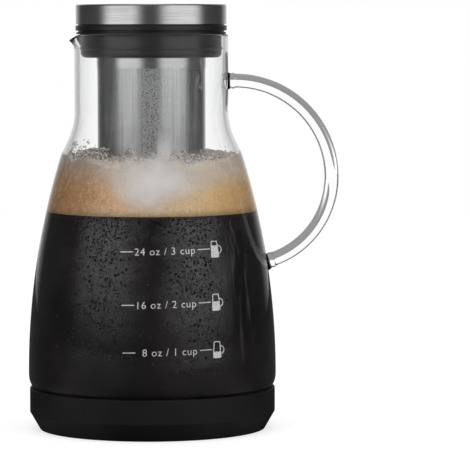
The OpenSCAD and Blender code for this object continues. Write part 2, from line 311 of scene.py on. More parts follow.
# A hole's radius and its soft edge, as shares of the step between holes.
HOLE_R = 0.3
HOLE_EDGE = 0.06


def etched_mesh(name):
    """Fine etched steel: rows of round holes, each row half a step along from the last. Fine drops dull a
    strip down its front."""
    made, tree, shader = new_material(name, Metallic=1.0)
    place = object_place(tree)
    x, y, z = axes(tree, place)
    round_share = math_node(tree, "DIVIDE", math_node(tree, "ARCTAN2", y, x), TURN)
    up = math_node(tree, "DIVIDE", z, HOLE_ROW_STEP)
    odd_row = math_node(tree, "MODULO", math_node(tree, "FLOOR", up), 2.0)
    shifted = math_node(tree, "MULTIPLY_ADD", odd_row, 0.5, times(tree, round_share, HOLES_ROUND))
    off_x = math_node(tree, "SUBTRACT", math_node(tree, "FRACT", shifted), 0.5)
    off_z = math_node(tree, "SUBTRACT", math_node(tree, "FRACT", up), 0.5)
    off_hole = flat_length(tree, off_x, off_z)
    solid = span(tree, off_hole, HOLE_R - HOLE_EDGE, HOLE_R + HOLE_EDGE)
    streak = span(tree, stretched_noise(tree, place, (900.0, 900.0, 30.0)), 0.3, 0.7)
    web = mix_colour(tree, streak, (0.66, 0.66, 0.67), (0.8, 0.8, 0.81))
    strip = span(tree, off_from(tree, turn_from_front(tree, x, y)), math.radians(13), math.radians(8))
    wet = times(tree, strip, span(tree, noise(tree, place, 1100.0), 0.42, 0.52))
    set_inputs(shader, {
        "Base Color": mix_colour(tree, solid, (0.16, 0.16, 0.165), web),
        "Roughness": math_node(tree, "MULTIPLY_ADD", wet, 0.38, span(tree, streak, 0.0, 1.0, 0.2, 0.27)),
        "Normal": bump(tree, solid, 0.1, 0.01 * MM),
    })
    return made


def clear_glass(name):
    """Clear blown glass with a slightly uneven skin. Lamps' rays go straight through and light its inside."""
    made, tree, shader = new_material(name, Base_Color=(0.995, 1.0, 0.998, 1), Roughness=0.0, IOR=1.44,
                                      Transmission_Weight=1.0, Specular_Tint=(0.31, 0.31, 0.31, 1))
    waves = noise(tree, object_place(tree), 45.0, 1.0)
    set_inputs(shader, {"Normal": bump(tree, waves, 1.0, 0.02 * MM)})
    clear = add_node(tree, "ShaderNodeBsdfTransparent", {"Color": (0.96, 0.97, 0.97, 1)})
    blend_surface(tree, add_node(tree, "ShaderNodeLightPath").outputs["Is Shadow Ray"], shader, clear)
    return made


def black_coffee(name):
    """Cold coffee, nearly black, a little browner where the light gets into its top."""
    made, tree, shader = new_material(name, IOR=1.33, Specular_IOR_Level=0.05)
    place = object_place(tree)
    _, _, z = axes(tree, place)
    cloud = span(tree, noise(tree, place, 22.0, 3.0), 0.35, 0.65)
    body = mix_colour(tree, cloud, (0.0125, 0.0115, 0.0115), (0.023, 0.0198, 0.0195))
    near_top = span(tree, z, COFFEE_Z - 3 * MM, COFFEE_Z)
    set_inputs(shader, {
        "Base Color": mix_colour(tree, near_top, body, (0.022, 0.017, 0.016)),
        "Roughness": span(tree, cloud, 0.0, 1.0, 0.18, 0.3),
    })
    return made


def crema(name):
    """Foam: golden tan where it meets the coffee, greyer towards its top, in small cells of many sizes.
    Painted shade darkens it towards its left and right sides, and its cells carry painted shade at their
    edges and a painted highlight in the middles of the larger ones.
    """
    made, tree, shader = new_material(name, IOR=1.33, Specular_IOR_Level=0.05)
    place = object_place(tree)
    x, _, z = axes(tree, place)
    wander = math_node(tree, "SUBTRACT", noise(tree, place, 75.0, 4.0, 0.6), 0.5)
    # Painted shade: the colour follows x across the front, darker towards the left and right sides of the
    # round foam, and its grey top darker on the left.
    side = span(tree, math_node(tree, "MULTIPLY_ADD", wander, 20 * MM, x), -BELLY_R, BELLY_R)
    golden = ramp(tree, side, [
        (0.08, (0.34, 0.2, 0.1)), (0.27, (0.58, 0.32, 0.14)), (0.38, (0.9, 0.56, 0.29)),
        (0.5, (0.95, 0.66, 0.38)), (0.66, (0.95, 0.68, 0.34)), (0.78, (0.84, 0.55, 0.25)),
        (0.92, (0.58, 0.35, 0.165)),
    ])
    lift = math_node(tree, "MULTIPLY_ADD", wander, 16 * MM, z)
    height = span(tree, lift, COFFEE_Z + 12 * MM, FOAM_TOP_Z - 1 * MM)
    grey_top_painted_side_shade = mix_colour(tree, side, (0.34, 0.3, 0.27), (0.6, 0.53, 0.475))
    froth = mix_colour(tree, height, golden, grey_top_painted_side_shade)
    low = span(tree, lift, COFFEE_Z + 3.5 * MM, COFFEE_Z, 0.0, 0.5)
    body = mix_colour(tree, low, froth, (0.74, 0.42, 0.18))
    speck = span(tree, cells(tree, place, 900.0), 0.15, 0.75)
    big = span(tree, cells(tree, place, 330.0), 0.1, 0.6)
    # Painted shade at the edges of the small cells, and a painted highlight on the middles of the larger
    # ones, where the bump domes them.
    shaded = mix_colour(tree, times(tree, speck, 0.2), body, (0.16, 0.09, 0.05))
    pale = times(tree, math_node(tree, "SUBTRACT", 1.0, big), 0.16)
    rise = math_node(tree, "MULTIPLY_ADD", big, -0.6, times(tree, speck, -0.4))
    set_inputs(shader, {
        "Base Color": mix_colour(tree, pale, shaded, (0.9, 0.76, 0.6)),
        "Roughness": span(tree, speck, 0.0, 1.0, 0.35, 0.6),
        "Normal": bump(tree, rise, 0.5, 0.3 * MM),
    })
    return made


def froth_bubbles(name):
    """Thin bubbles: clear in the middle, and grey where their skin is seen edge on."""
    made, tree, shader = new_material(name, IOR=1.33, Roughness=0.12)
    tint = span(tree, noise(tree, object_place(tree), 900.0, 1.0), 0.45, 0.6)
    set_inputs(shader, {"Base Color": mix_colour(tree, tint, (0.24, 0.215, 0.195), (0.8, 0.76, 0.72))})
    edge = add_node(tree, "ShaderNodeLayerWeight", {"Blend": 0.45}).outputs["Facing"]
    seen = math_node(tree, "MULTIPLY_ADD", edge, 0.7, 0.35, clamp=True)
    blend_surface(tree, seen, add_node(tree, "ShaderNodeBsdfTransparent"), shader)
    return made


def white_print(name):
    """Fired white print, very slightly uneven in its cover."""
    made, tree, shader = new_material(name, Roughness=0.55)
    cover = span(tree, noise(tree, object_place(tree), 1500.0), 0.35, 0.6)
    set_inputs(shader, {"Base Color": mix_colour(tree, cover, (0.42, 0.42, 0.43), (0.72, 0.72, 0.73))})
    return made


# -------- shape helpers
def finished_mesh(name, bm):
    """Turns a bmesh into a mesh, and frees it."""
    mesh = bpy.data.meshes.new(name)
    bm.to_mesh(mesh)
    bm.free()
    return mesh


def new_object(name, data):
    """Puts a mesh, a lamp or a camera into the scene."""
    made = bpy.data.objects.new(name, data)
    bpy.context.scene.collection.objects.link(made)
    return made


def new_piece(name, bm, material, body, replaced=(), smooth=True):
    """Makes a finished piece from a bmesh, and seats it on its body."""
    mesh = finished_mesh(name, bm)
    if smooth:
        mesh.shade_smooth()
    mesh.materials.append(material)
    made = new_object(name, mesh)
    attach(made, body)
    if replaced:
        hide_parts(*replaced)
    return made


def stamp(bm, shape, place):
    """Adds a copy of a mesh to a bmesh, at its place."""
    copy = shape.copy()
    copy.transform(place)
    bm.from_mesh(copy)
    bpy.data.meshes.remove(copy)


def arc(centre, radius, start, end, steps):
    """Points (r, z) along an arc, both ends included. Angles are in radians from outward."""
    turns = [start + (end - start) * i / steps for i in range(steps + 1)]
    return [(centre[0] + radius * math.cos(a), centre[1] + radius * math.sin(a)) for a in turns]


def turned(outline, segments):
    """Spins a closed outline of (r, z) points round the axis into a solid."""
    bm = bmesh.new()
    corners = [bm.verts.new((r, 0, z)) for r, z in outline]
    edges = [bm.edges.new(pair) for pair in zip(corners, corners[1:] + corners[:1])]
    bmesh.ops.spin(bm, geom=corners + edges, axis=(0, 0, 1), cent=(0, 0, 0), angle=TURN, steps=segments,
                   use_merge=True)
    bmesh.ops.remove_doubles(bm, verts=bm.verts, dist=1e-6)
    bmesh.ops.recalc_face_normals(bm, faces=bm.faces)
    return bm


def bend_points(inset):
    """The bend from shoulder to neck: a cubic curve, moved in by inset."""
    steps = 18
    low = Vector((SHOULDER_R, BEND_LOW_Z))
    low_pull = low + BEND_LOW_REACH * Vector((-math.sin(BELLY_LEAN), math.cos(BELLY_LEAN)))
    high = Vector((NECK_R, BEND_TOP_Z))
    high_pull = high - Vector((0, BEND_HIGH_REACH))
    points = []
    for i in range(1, steps + 1):
        t = i / steps
        place = ((1 - t) ** 3 * low + 3 * (1 - t) ** 2 * t * low_pull + 3 * (1 - t) * t * t * high_pull
                 + t ** 3 * high)
        along = ((1 - t) ** 2 * (low_pull - low) + 2 * (1 - t) * t * (high_pull - low_pull)
                 + t * t * (high - high_pull)).normalized()
        points.append((place.x - inset * along.y, place.y + inset * along.x))
    return points


def side_points(inset):
    """The glass's side from the bottom of its foot to the top of the bend, moved in by inset."""
    foot = arc((BELLY_R - FOOT_ROUND, FOOT_TOP_Z), FOOT_ROUND - inset, -math.pi / 2, 0, 12)
    belly = arc((BELLY_ARC_X, FOOT_TOP_Z), BELLY_ARC_R - inset, 0, BELLY_LEAN, 40)
    return foot + belly[1:] + bend_points(inset)


def side_radius(z, inset=0.0):
    """The belly's radius at a height between the foot and the shoulder, moved in by inset."""
    return BELLY_ARC_X + math.sqrt((BELLY_ARC_R - inset) ** 2 - (z - FOOT_TOP_Z) ** 2)


def side_lean(z):
    """How far the belly's side leans in at a height, in radians."""
    return math.asin((z - FOOT_TOP_Z) / BELLY_ARC_R)


# -------- the blown glass
def carafe_body():
    """The carafe's wall and floor, with its rim drawn out and down into the pouring lip."""
    top = RIM_Z - RIM_ROUND
    rings = [RIM_Z - SPOUT_RUN + (SPOUT_RUN - RIM_ROUND) * i / 10 for i in range(10)]
    outer = side_points(0) + [(NECK_R, z) for z in rings]
    inner = side_points(WALL) + [(NECK_R - WALL, z) for z in rings]
    rim = (arc((NECK_R - RIM_ROUND, top), RIM_ROUND, 0, math.pi / 2, 5)
           + arc((NECK_R - WALL + RIM_ROUND, top), RIM_ROUND, math.pi / 2, math.pi, 5))
    outline = [(0, GLASS_BOTTOM)] + outer + rim + inner[::-1] + [(0, GLASS_BOTTOM + WALL)]
    bm = turned(outline, 192)
    for v in bm.verts:
        off_lip = abs(math.atan2(v.co.y, -v.co.x))
        if v.co.z > RIM_Z - SPOUT_RUN and off_lip < SPOUT_HALF:
            share = math.cos(off_lip / SPOUT_HALF * math.pi / 2) ** 2
            up = (v.co.z - (RIM_Z - SPOUT_RUN)) / SPOUT_RUN
            reach = math.hypot(v.co.x, v.co.y)
            grow = 1 + SPOUT_OUT * share * up ** 2 / reach
            v.co = Vector((v.co.x * grow, v.co.y * grow, v.co.z - SPOUT_DROP * share * up ** 1.5))
    return bm


def draw_weld(bm, ring, heading, depth):
    """Runs a rod's end on into the wall, and swells it where the two were melted together."""
    steps = 10
    length = WELD_LEN + depth
    size = ROD_R
    for i in range(1, steps + 1):
        made = bmesh.ops.extrude_edge_only(bm, edges=ring)["geom"]
        corners = [g for g in made if isinstance(g, bmesh.types.BMVert)]
        edges = [g for g in made if isinstance(g, bmesh.types.BMEdge)]
        ring = [e for e in edges if all(v in corners for v in e.verts)]
        bmesh.ops.translate(bm, verts=corners, vec=heading * (length / steps))
        share = min(1.0, i / steps * length / WELD_LEN)
        wanted = ROD_R + WELD_FLARE * (share ** 3 + 0.55 * math.sin(math.pi * min(1, 1.6 * share)) ** 2)
        centre = sum((v.co for v in corners), Vector()) / len(corners)
        bmesh.ops.scale(bm, verts=corners, vec=(wanted / size,) * 3, space=Matrix.Translation(-centre))
        size = wanted
    bmesh.ops.edgeloop_fill(bm, edges=ring)


def handle_rod():
    """The bent rod: two arcs that meet at its outermost point, each drawn on into the glass."""
    bm = bmesh.new()
    start = bmesh.ops.create_circle(bm, cap_ends=False, radius=ROD_R, segments=40,
                                    matrix=Matrix.Translation((HANDLE_OUT_X, 0, HANDLE_Z)))["verts"]
    first_ring = [e for e in bm.edges if all(v in start for v in e.verts)]
    up_r, low_r = HANDLE_UP_R, HANDLE_LOW_R
    up_turn = math.acos((NECK_R + WELD_LEN - HANDLE_OUT_X + up_r) / up_r)
    low_turn = 0.0
    low_x = HANDLE_OUT_X - low_r
    while low_x + low_r * math.cos(low_turn) > side_radius(HANDLE_Z - low_r * math.sin(low_turn)):
        low_turn += 0.0005
    low_turn -= WELD_LEN / low_r
    ends = []
    for up, radius, turn, steps in ((1, up_r, up_turn, 56), (-1, low_r, low_turn, 48)):
        centre = (HANDLE_OUT_X - radius, 0, HANDLE_Z)
        spun = bmesh.ops.spin(bm, geom=first_ring, axis=(0, -up, 0), cent=centre, angle=turn, steps=steps)
        ring = [g for g in spun["geom_last"] if isinstance(g, bmesh.types.BMEdge)]
        ends.append((ring, Vector((-math.sin(turn), 0, up * math.cos(turn)))))
    for ring, heading in ends:
        draw_weld(bm, ring, heading, WALL / 2)
    bmesh.ops.recalc_face_normals(bm, faces=bm.faces)
    return bm


def make_carafe(glass):
    """The carafe and its handle, melted into one piece of glass."""
    carafe = new_piece("carafe", carafe_body(), glass, "carafe",
                       ["carafe_glass", "handle_rod", "handle_weld_upper", "handle_weld_lower"])
    rod = new_piece("rod", handle_rod(), glass, "carafe")
    join = carafe.modifiers.new("melted", "BOOLEAN")
    join.operation = "UNION"
    join.solver = "EXACT"
    join.object = rod
    made = bpy.data.meshes.new_from_object(carafe.evaluated_get(bpy.context.evaluated_depsgraph_get()))
    carafe.modifiers.clear()
    carafe.data = made
    made.name = "carafe"
    bpy.data.objects.remove(rod)
    bm = bmesh.new()
    bm.from_mesh(made)
    bmesh.ops.remove_doubles(bm, verts=bm.verts, dist=1e-6)
    bm.to_mesh(made)
    bm.free()
    made.shade_smooth()


# -------- coffee and foam
def make_coffee(finish):
    """The coffee, against the glass all round. It fills the filter too, so it stays whole when that lifts."""
    side = [(r, z) for r, z in side_points(WALL - WET) if z < COFFEE_Z - 1 * MM]
    level_r = side_radius(COFFEE_Z, WALL - WET)
    outline = [(0, GLASS_BOTTOM + WALL - WET)] + side + [(level_r, COFFEE_Z), (0, COFFEE_Z)]
    new_piece("coffee", turned(outline, 144), finish, "carafe")


def make_foam(finish):
    """The foam on the coffee, with an uneven top that climbs the glass and the filter, which it fills too."""
    side = [(r, z) for r, z in side_points(WALL - WET) if COFFEE_Z + 1 * MM < z < FOAM_TOP_Z - 0.5 * MM]
    level_r = side_radius(COFFEE_Z, WALL - WET)
    top_r = side[-1][0] - 0.5 * MM
    inner_r = FILTER_R + FILL_GAP
    across = [(top_r + (inner_r - top_r) * i / 10, FOAM_TOP_Z) for i in range(1, 11)]
    in_filter = [(inner_r * (1 - i / 12), FOAM_TOP_Z) for i in range(1, 13)]
    outline = [(level_r, COFFEE_Z + 0.02 * MM)] + side + [(top_r, FOAM_TOP_Z)] + across + in_filter
    outline.append((0, COFFEE_Z + 0.02 * MM))
    bm = turned(outline, 180)
    soft_depth, dip, tilt = 8 * MM, 1.2 * MM, 1.3 * MM
    lumps = random.Random(4)
    waves = [(lumps.uniform(0, TURN), n, 0.8 * MM / math.sqrt(n)) for n in (2, 3, 5, 8, 13, 21, 34)]
    for v in bm.verts:
        share = max(0.0, (v.co.z - FOAM_TOP_Z + soft_depth) / soft_depth)
        if share > 0:
            angle = math.atan2(v.co.y, v.co.x)
            reach = math.hypot(v.co.x, v.co.y)
            lift = sum(size * math.sin(count * angle + start + reach * 150) for start, count, size in waves)
            lift *= min(1.0, reach / (20 * MM))
            out_share = max(0.0, (reach - inner_r) / (top_r - inner_r))
            sink = dip * (1 - abs(2 * out_share - 1) ** 3)
            v.co.z += share * (lift - sink + tilt * v.co.y / top_r)
    new_piece("foam", bm, finish, "carafe")


def inner_radius(z):
    """The inside radius of the glass's side at a height up to the top of the bend."""
    points = side_points(WALL)
    for (low_r, low_z), (high_r, high_z) in zip(points, points[1:]):
        if low_z <= z <= high_z:
            return low_r + (high_r - low_r) * (z - low_z) / (high_z - low_z)
    return NECK_R - WALL


def make_froth(finish):
    """Loose bubbles along the foam's top edge: on the glass, thickest on the side of the lip, and round the
    filter."""
    draw = random.Random(11)
    ball = bmesh.new()
    bmesh.ops.create_icosphere(ball, subdivisions=2, radius=1.0)
    bubble = finished_mesh("bubble", ball)
    bm = bmesh.new()
    # Each bank of bubbles: its middle and half width in degrees from the handle, its height above the foam's
    # top and how much that varies, whether it is on the glass, and its bubbles.
    banks = [(0, 180, -0.8 * MM, 1.3 * MM, True, 520), (212, 30, -2.0 * MM, 3.2 * MM, True, 760),
             (255, 32, -2.6 * MM, 1.2 * MM, True, 320), (303, 16, -2.4 * MM, 1.4 * MM, True, 260),
             (0, 180, 0.0, 1.2 * MM, False, 180)]
    for middle, half, above, vary, on_glass, count in banks:
        for _ in range(count):
            angle = math.radians(middle + draw.uniform(-half, half))
            size = 0.22 * MM + 0.5 * MM * draw.random() ** 2.5
            height = FOAM_TOP_Z + above + draw.gauss(0, 1) * vary
            if on_glass:
                reach = inner_radius(height) - size - FILL_GAP
            else:
                reach = FILTER_R + size + FILL_GAP
            place = Matrix.Translation((reach * math.cos(angle), reach * math.sin(angle), height))
            stamp(bm, bubble, place @ Matrix.Scale(size, 4))
    new_piece("froth", bm, finish, "carafe")


# -------- volume marks
PRINT_GAP = 0.03 * MM
PRINT_THICK = 0.04 * MM
DIGIT_H = 3.6 * MM
# How tall a digit is in a font of size 1.
DIGIT_SHARE = 0.72
LETTER_SPACE = 1.1
THIN_STROKE = -0.03 * MM
# The print is turned a little, anticlockwise seen from the front, about the middle of its middle row.
PRINT_TILT = math.tan(math.radians(1.15))
MIDDLE_ROW = 49.4 * MM
MARK_ROWS = (74.5 * MM, MIDDLE_ROW, 26.9 * MM)
# Places along the print, from the front towards the handle.
TICK_START, TICK_LEN = -13.1 * MM, 6.15 * MM
WORDS_END = 23.05 * MM
DASH_START, DASH_LEN = 24.3 * MM, 6.4 * MM
MUG_MIDDLE = 33.5 * MM
MUG_FOOT = -4.2 * MM
LINE_W = 0.42 * MM


def flat_words(words):
    """Lettering cut as thin solid letters, flat, which ends at x 0."""
    curve = bpy.data.curves.new("words", "FONT")
    curve.body = words
    curve.size = DIGIT_H / DIGIT_SHARE
    curve.space_character = LETTER_SPACE
    curve.offset = THIN_STROKE
    curve.align_x = "RIGHT"
    curve.extrude = PRINT_THICK / 2
    curve.resolution_u = 3
    holder = bpy.data.objects.new("words", curve)
    mesh = bpy.data.meshes.new_from_object(holder)
    bpy.data.objects.remove(holder)
    bm = bmesh.new()
    bm.from_mesh(mesh)
    bmesh.ops.remove_doubles(bm, verts=bm.verts, dist=1e-7)
    return bm


def flat_bar(length):
    """A thin level bar from x 0, cut into steps so that it can bend."""
    bm = bmesh.new()
    place = Matrix.Translation((length / 2, 0, 0)) @ Matrix.Diagonal((length, LINE_W, 1, 1))
    bmesh.ops.create_grid(bm, x_segments=8, y_segments=1, size=0.5, matrix=place)
    thicken(bm)
    return bm


def thicken(bm):
    """Gives a flat print its thickness."""
    raised = bmesh.ops.extrude_face_region(bm, geom=bm.faces[:])["geom"]
    top = [g for g in raised if isinstance(g, bmesh.types.BMVert)]
    bmesh.ops.translate(bm, verts=top, vec=(0, 0, PRINT_THICK))
    bmesh.ops.recalc_face_normals(bm, faces=bm.faces)


def flat_mug(share):
    """A small mug in outline, narrower at its mouth, filled to a share of its height."""
    line = 0.45 * MM
    foot_w, mouth_w, tall = 4.6 * MM, 3.6 * MM, 8.0 * MM
    bm = bmesh.new()
    corners = [bm.verts.new(c) for c in ((-foot_w / 2, 0, 0), (foot_w / 2, 0, 0), (mouth_w / 2, tall, 0),
                                         (-mouth_w / 2, tall, 0))]
    bm.faces.new(corners)
    bmesh.ops.bevel(bm, geom=corners, offset=0.6 * MM, segments=3, profile=0.5, affect="VERTICES")
    inner = bm.faces[:]
    bmesh.ops.inset_region(bm, faces=inner, thickness=line, use_boundary=True, use_even_offset=True)
    brim = line + share * (tall - 2 * line)
    whole = inner + [e for f in inner for e in f.edges] + [v for f in inner for v in f.verts]
    bmesh.ops.bisect_plane(bm, geom=whole, dist=1e-7, plane_co=(0, brim, 0), plane_no=(0, 1, 0))
    above = [f for f in bm.faces if f.calc_center_median().y > brim]
    empty = [f for f in above if not any(e.is_boundary for e in f.edges)]
    bmesh.ops.delete(bm, geom=empty, context="FACES")
    grip_r = 1.9 * MM
    grip_x, grip_y = foot_w / 2 - 0.35 * MM, 3.8 * MM
    grip = [bm.verts.new((grip_x, grip_y - grip_r + side * line / 2, 0)) for side in (-1, 1)]
    edge = bm.edges.new(grip)
    bmesh.ops.spin(bm, geom=grip + [edge], axis=(0, 0, 1), cent=(grip_x, grip_y, 0), angle=math.pi, steps=10)
    bmesh.ops.recalc_face_normals(bm, faces=bm.faces)
    thicken(bm)
    return bm


def bend_print(flat, start, lift, above):
    """Wraps flat print on the glass, from a place along its row, lifted, at a height above the foot."""
    row_z = GLASS_BOTTOM + above
    row_r = side_radius(row_z)
    for v in flat.verts:
        along = start + v.co.x + (MIDDLE_ROW - above) * PRINT_TILT
        z = row_z + lift + v.co.y * math.cos(side_lean(row_z)) + along * PRINT_TILT
        reach = side_radius(z) + PRINT_GAP + v.co.z
        turn = along / row_r
        v.co = Vector((reach * math.sin(turn), -reach * math.cos(turn), z))


def make_marks(finish):
    """Three rows of marks: a tick, the volume in ounces and cups, a dash and a mug filled to match."""
    all_marks = bmesh.new()
    words_and_fills = (("24 oz / 3 cup", 0.74), ("16 oz / 2 cup", 0.55), ("8 oz / 1 cup", 0.36))
    for above, (words, filled) in zip(MARK_ROWS, words_and_fills):
        pieces = [
            (flat_bar(TICK_LEN), TICK_START, 0),
            (flat_words(words), WORDS_END, -DIGIT_H / 2),
            (flat_bar(DASH_LEN), DASH_START, 0),
            (flat_mug(filled), MUG_MIDDLE, MUG_FOOT),
        ]
        for flat, start, lift in pieces:
            bend_print(flat, start, lift, above)
            all_marks.from_mesh(finished_mesh("mark", flat))
    new_piece("volume_marks", all_marks, finish, "carafe", smooth=False)


# -------- water on the outside of the glass
# How much each kind of condensation covers: mist and the lace in it, runs, specks on the foam, and breath.
MIST = 0.015
LACE = 0.034
RUNS = 0.035
SPECKS = 0.1
BREATH_CORE = 0.52
BREATH_HAZE = 0.26


def film_zone(tree, turn, z, middle, half, low, high):
    """1 inside a patch of the front, by its degrees from the front and its height, with soft edges."""
    across = span(tree, off_from(tree, turn, math.radians(middle)), math.radians(half), 0.0)
    above = span(tree, z, low - 20 * MM, low + 30 * MM)
    return times(tree, across, above, span(tree, z, high, high - 4 * MM))


def breath(tree, x, z, wander, middle_x, half_x, middle_z, half_z):
    """1 inside a soft oval on the front of the glass, with a wandering edge."""
    across = math_node(tree, "DIVIDE", math_node(tree, "SUBTRACT", x, middle_x), half_x)
    up = math_node(tree, "DIVIDE", math_node(tree, "SUBTRACT", z, middle_z), half_z)
    away = math_node(tree, "MULTIPLY_ADD", wander, 0.9, flat_length(tree, across, up))
    return span(tree, away, 1.5, 0.1, interpolation_type="SMOOTHSTEP")


def fog(name):
    """Condensation: over the coffee a grey lace of mist, with clear round holes where beads have gathered it
    up, and streaks where drops ran; over the foam faint specks, and a patch of white breath. The mist lies
    only in two bands where the lamps reflect in the glass: its grey is partly real mist and partly a painted
    reflection of the lamps."""
    made, tree, shader = new_material(name, Base_Color=(0.79, 0.775, 0.765, 1), Roughness=0.6)
    place = object_place(tree)
    x, y, z = axes(tree, place)
    turn = turn_from_front(tree, x, y)
    wander = math_node(tree, "SUBTRACT", noise(tree, place, 90.0, 3.0), 0.5)
    uneven = math_node(tree, "MULTIPLY_ADD", wander, 0.35, turn)
    low, top = GLASS_BOTTOM, COFFEE_Z
    lace = times(tree, span(tree, cells(tree, place, 430.0, 0.9), 0.38, 0.46),
                 span(tree, cells(tree, place, 820.0, 0.9), 0.34, 0.46, 0.3, 1.0))
    # The mist is laid only in two bands, left and right of the front, where the lamps reflect in the glass:
    # there its grey is partly a painted reflection of the lamps.
    left = film_zone(tree, uneven, z, -21.0, 22.0, low + 42 * MM, top + 1 * MM)
    right = film_zone(tree, uneven, z, 23.0, 21.0, low + 26 * MM, top + 1 * MM)
    mist = times(tree, larger(tree, left, right), math_node(tree, "MULTIPLY_ADD", lace, LACE, MIST))

    on_foam = times(tree, span(tree, z, top, top + 1 * MM), span(tree, z, top + 22 * MM, top + 2 * MM))
    sides = larger(tree, film_zone(tree, uneven, z, 22.0, 20.0, low, top + 40 * MM),
                   film_zone(tree, uneven, z, -20.0, 30.0, low, top + 40 * MM))
    specks = times(tree, on_foam, lace, sides, SPECKS)

    near_handle = film_zone(tree, turn, z, 48.0, 24.0, low + 30 * MM, top + 1 * MM)
    streaks = span(tree, stretched_noise(tree, place, (330.0, 330.0, 16.0)), 0.58, 0.74)
    runs = times(tree, streaks, near_handle, RUNS)

    core = times(tree, breath(tree, x, z, wander, 0.5 * MM, 16 * MM, top + 15.5 * MM, 11 * MM), BREATH_CORE)
    haze = times(tree, breath(tree, x, z, wander, 9 * MM, 30 * MM, top + 19 * MM, 9 * MM), BREATH_HAZE)
    both = math_node(tree, "MULTIPLY_ADD", haze, math_node(tree, "SUBTRACT", 1.0, core), core)
    # The breath draws out upwards into a stripe.
    stripe = times(tree, span(tree, off_from(tree, x, 7 * MM), 3.9 * MM, 2.4 * MM), BREATH_HAZE,
                   span(tree, z, top + 15 * MM, top + 22 * MM), span(tree, z, top + 40 * MM, top + 30 * MM))
    clouded = times(tree, larger(tree, both, stripe), span(tree, y, -5 * MM, -15 * MM))

    wet = math_node(tree, "ADD", math_node(tree, "ADD", mist, runs), specks)
    set_inputs(shader, {"Alpha": larger(tree, wet, clouded)})
    return made


def make_fog(finish):
    """The skin of mist on the belly and the bend, a hair off the glass and all the way round."""
    near, far = 0.008 * MM, 0.016 * MM
    low, high = GLASS_BOTTOM + 16 * MM, BEND_TOP_Z
    outer = [point for point in side_points(-far) if low < point[1] < high]
    inner = [point for point in side_points(-near) if low < point[1] < high]
    new_piece("condensation", turned(outer + inner[::-1], 192), finish, "carafe")


def water(name):
    """A bead of water, painted: its middle is painted dark for the dark seen through it, and a painted grey
    ring of light lies near its rim.
    """
    made, tree, shader = new_material(name, Roughness=0.08, IOR=1.33, Specular_IOR_Level=0.06)
    rim = add_node(tree, "ShaderNodeAttribute", attribute_name="rim").outputs["Fac"]
    # Painted light: the grey ring near the rim stands in for light bent through the bead, and the dark base
    # colour for the coffee seen through it.
    ring = times(tree, span(tree, rim, 0.55, 0.8), span(tree, rim, 1.05, 0.9))
    light = times(tree, ring, span(tree, noise(tree, object_place(tree), 500.0), 0.3, 0.7))
    set_inputs(shader, {
        "Base Color": mix_colour(tree, light, grey(0.006), (0.09, 0.09, 0.092)),
        "Alpha": math_node(tree, "MULTIPLY_ADD", ring, -0.1, 0.9),
    })
    return made


def bead_shape():
    """A round bead of water lying on glass: a dome with a flat underside, which knows how far each of its
    points is from its middle."""
    bm = bmesh.new()
    bmesh.ops.create_uvsphere(bm, u_segments=9, v_segments=8, radius=1.0)
    cut = bmesh.ops.bisect_plane(bm, geom=bm.verts[:] + bm.edges[:] + bm.faces[:], dist=1e-4,
                                 plane_co=(0, 0, 0), plane_no=(0, 0, -1), clear_outer=True)
    bmesh.ops.edgeloop_fill(bm, edges=[g for g in cut["geom_cut"] if isinstance(g, bmesh.types.BMEdge)])
    rim = bm.verts.layers.float.new("rim")
    for v in bm.verts:
        v[rim] = math.hypot(v.co.x, v.co.y)
    bmesh.ops.scale(bm, verts=bm.verts, vec=(1, 1, 0.4))
    bmesh.ops.recalc_face_normals(bm, faces=bm.faces)
    return finished_mesh("bead", bm)


def out_of_glass(angle, z):
    """The direction straight out of the belly's side, at an angle from the front and a height."""
    lean = side_lean(z)
    return Vector((math.sin(angle) * math.cos(lean), -math.cos(angle) * math.cos(lean), math.sin(lean)))


# How far a bead sinks into the glass, and how far it stays from the middle of a row of print.
BEAD_SINK = 0.02 * MM
PRINT_CLEAR = 2.4 * MM


def make_beads(finish):
    """Larger beads in two loose bands on the belly's front, thickest under the foam, and a few about them."""
    draw = random.Random(23)
    bead = bead_shape()
    # Each band: its middle and spread in degrees, its lowest and highest place above the foot, and its beads.
    bands = [(-23.0, 8.5, 22 * MM, 89.6 * MM, 780), (-8.0, 12.0, 81 * MM, 89.8 * MM, 110),
             (23.0, 6.5, 16 * MM, 89.6 * MM, 680), (12.0, 4.0, 54 * MM, 89 * MM, 50),
             (0.0, 60.0, 14 * MM, 86 * MM, 40)]
    taken = []
    bm = bmesh.new()
    for middle, spread, low, high, count in bands:
        for _ in range(count):
            size = 0.34 * MM + 0.55 * MM * draw.random() ** 2.2
            z = GLASS_BOTTOM + high - (high - low) * draw.random() ** 1.8
            # The widest band is spread evenly, and the others thin out to their sides.
            even = spread > 20
            angle = math.radians(draw.uniform(-spread, spread) if even else draw.gauss(middle, spread))
            reach = side_radius(z)
            spot = Vector((reach * math.sin(angle), -reach * math.cos(angle), z))
            along_print = TICK_START - size < angle * reach < MUG_MIDDLE + 4 * MM
            if along_print and any(abs(z - GLASS_BOTTOM - row) < PRINT_CLEAR + size for row in MARK_ROWS):
                continue
            if any((spot - other).length < size + room for other, room in taken):
                continue
            taken.append((spot, size))
            out = out_of_glass(angle, z)
            turned_out = out.to_track_quat("Z", "Y").to_matrix().to_4x4()
            stamp(bm, bead, Matrix.Translation(spot - out * BEAD_SINK) @ turned_out @ Matrix.Scale(size, 4))
    new_piece("water_beads", bm, finish, "carafe")


# -------- finishes on the CAD nodes
def wear(finish, *names):
    """Puts a finish on CAD nodes."""
    for name in names:
        nodes[name].data.materials.clear()
        nodes[name].data.materials.append(finish)


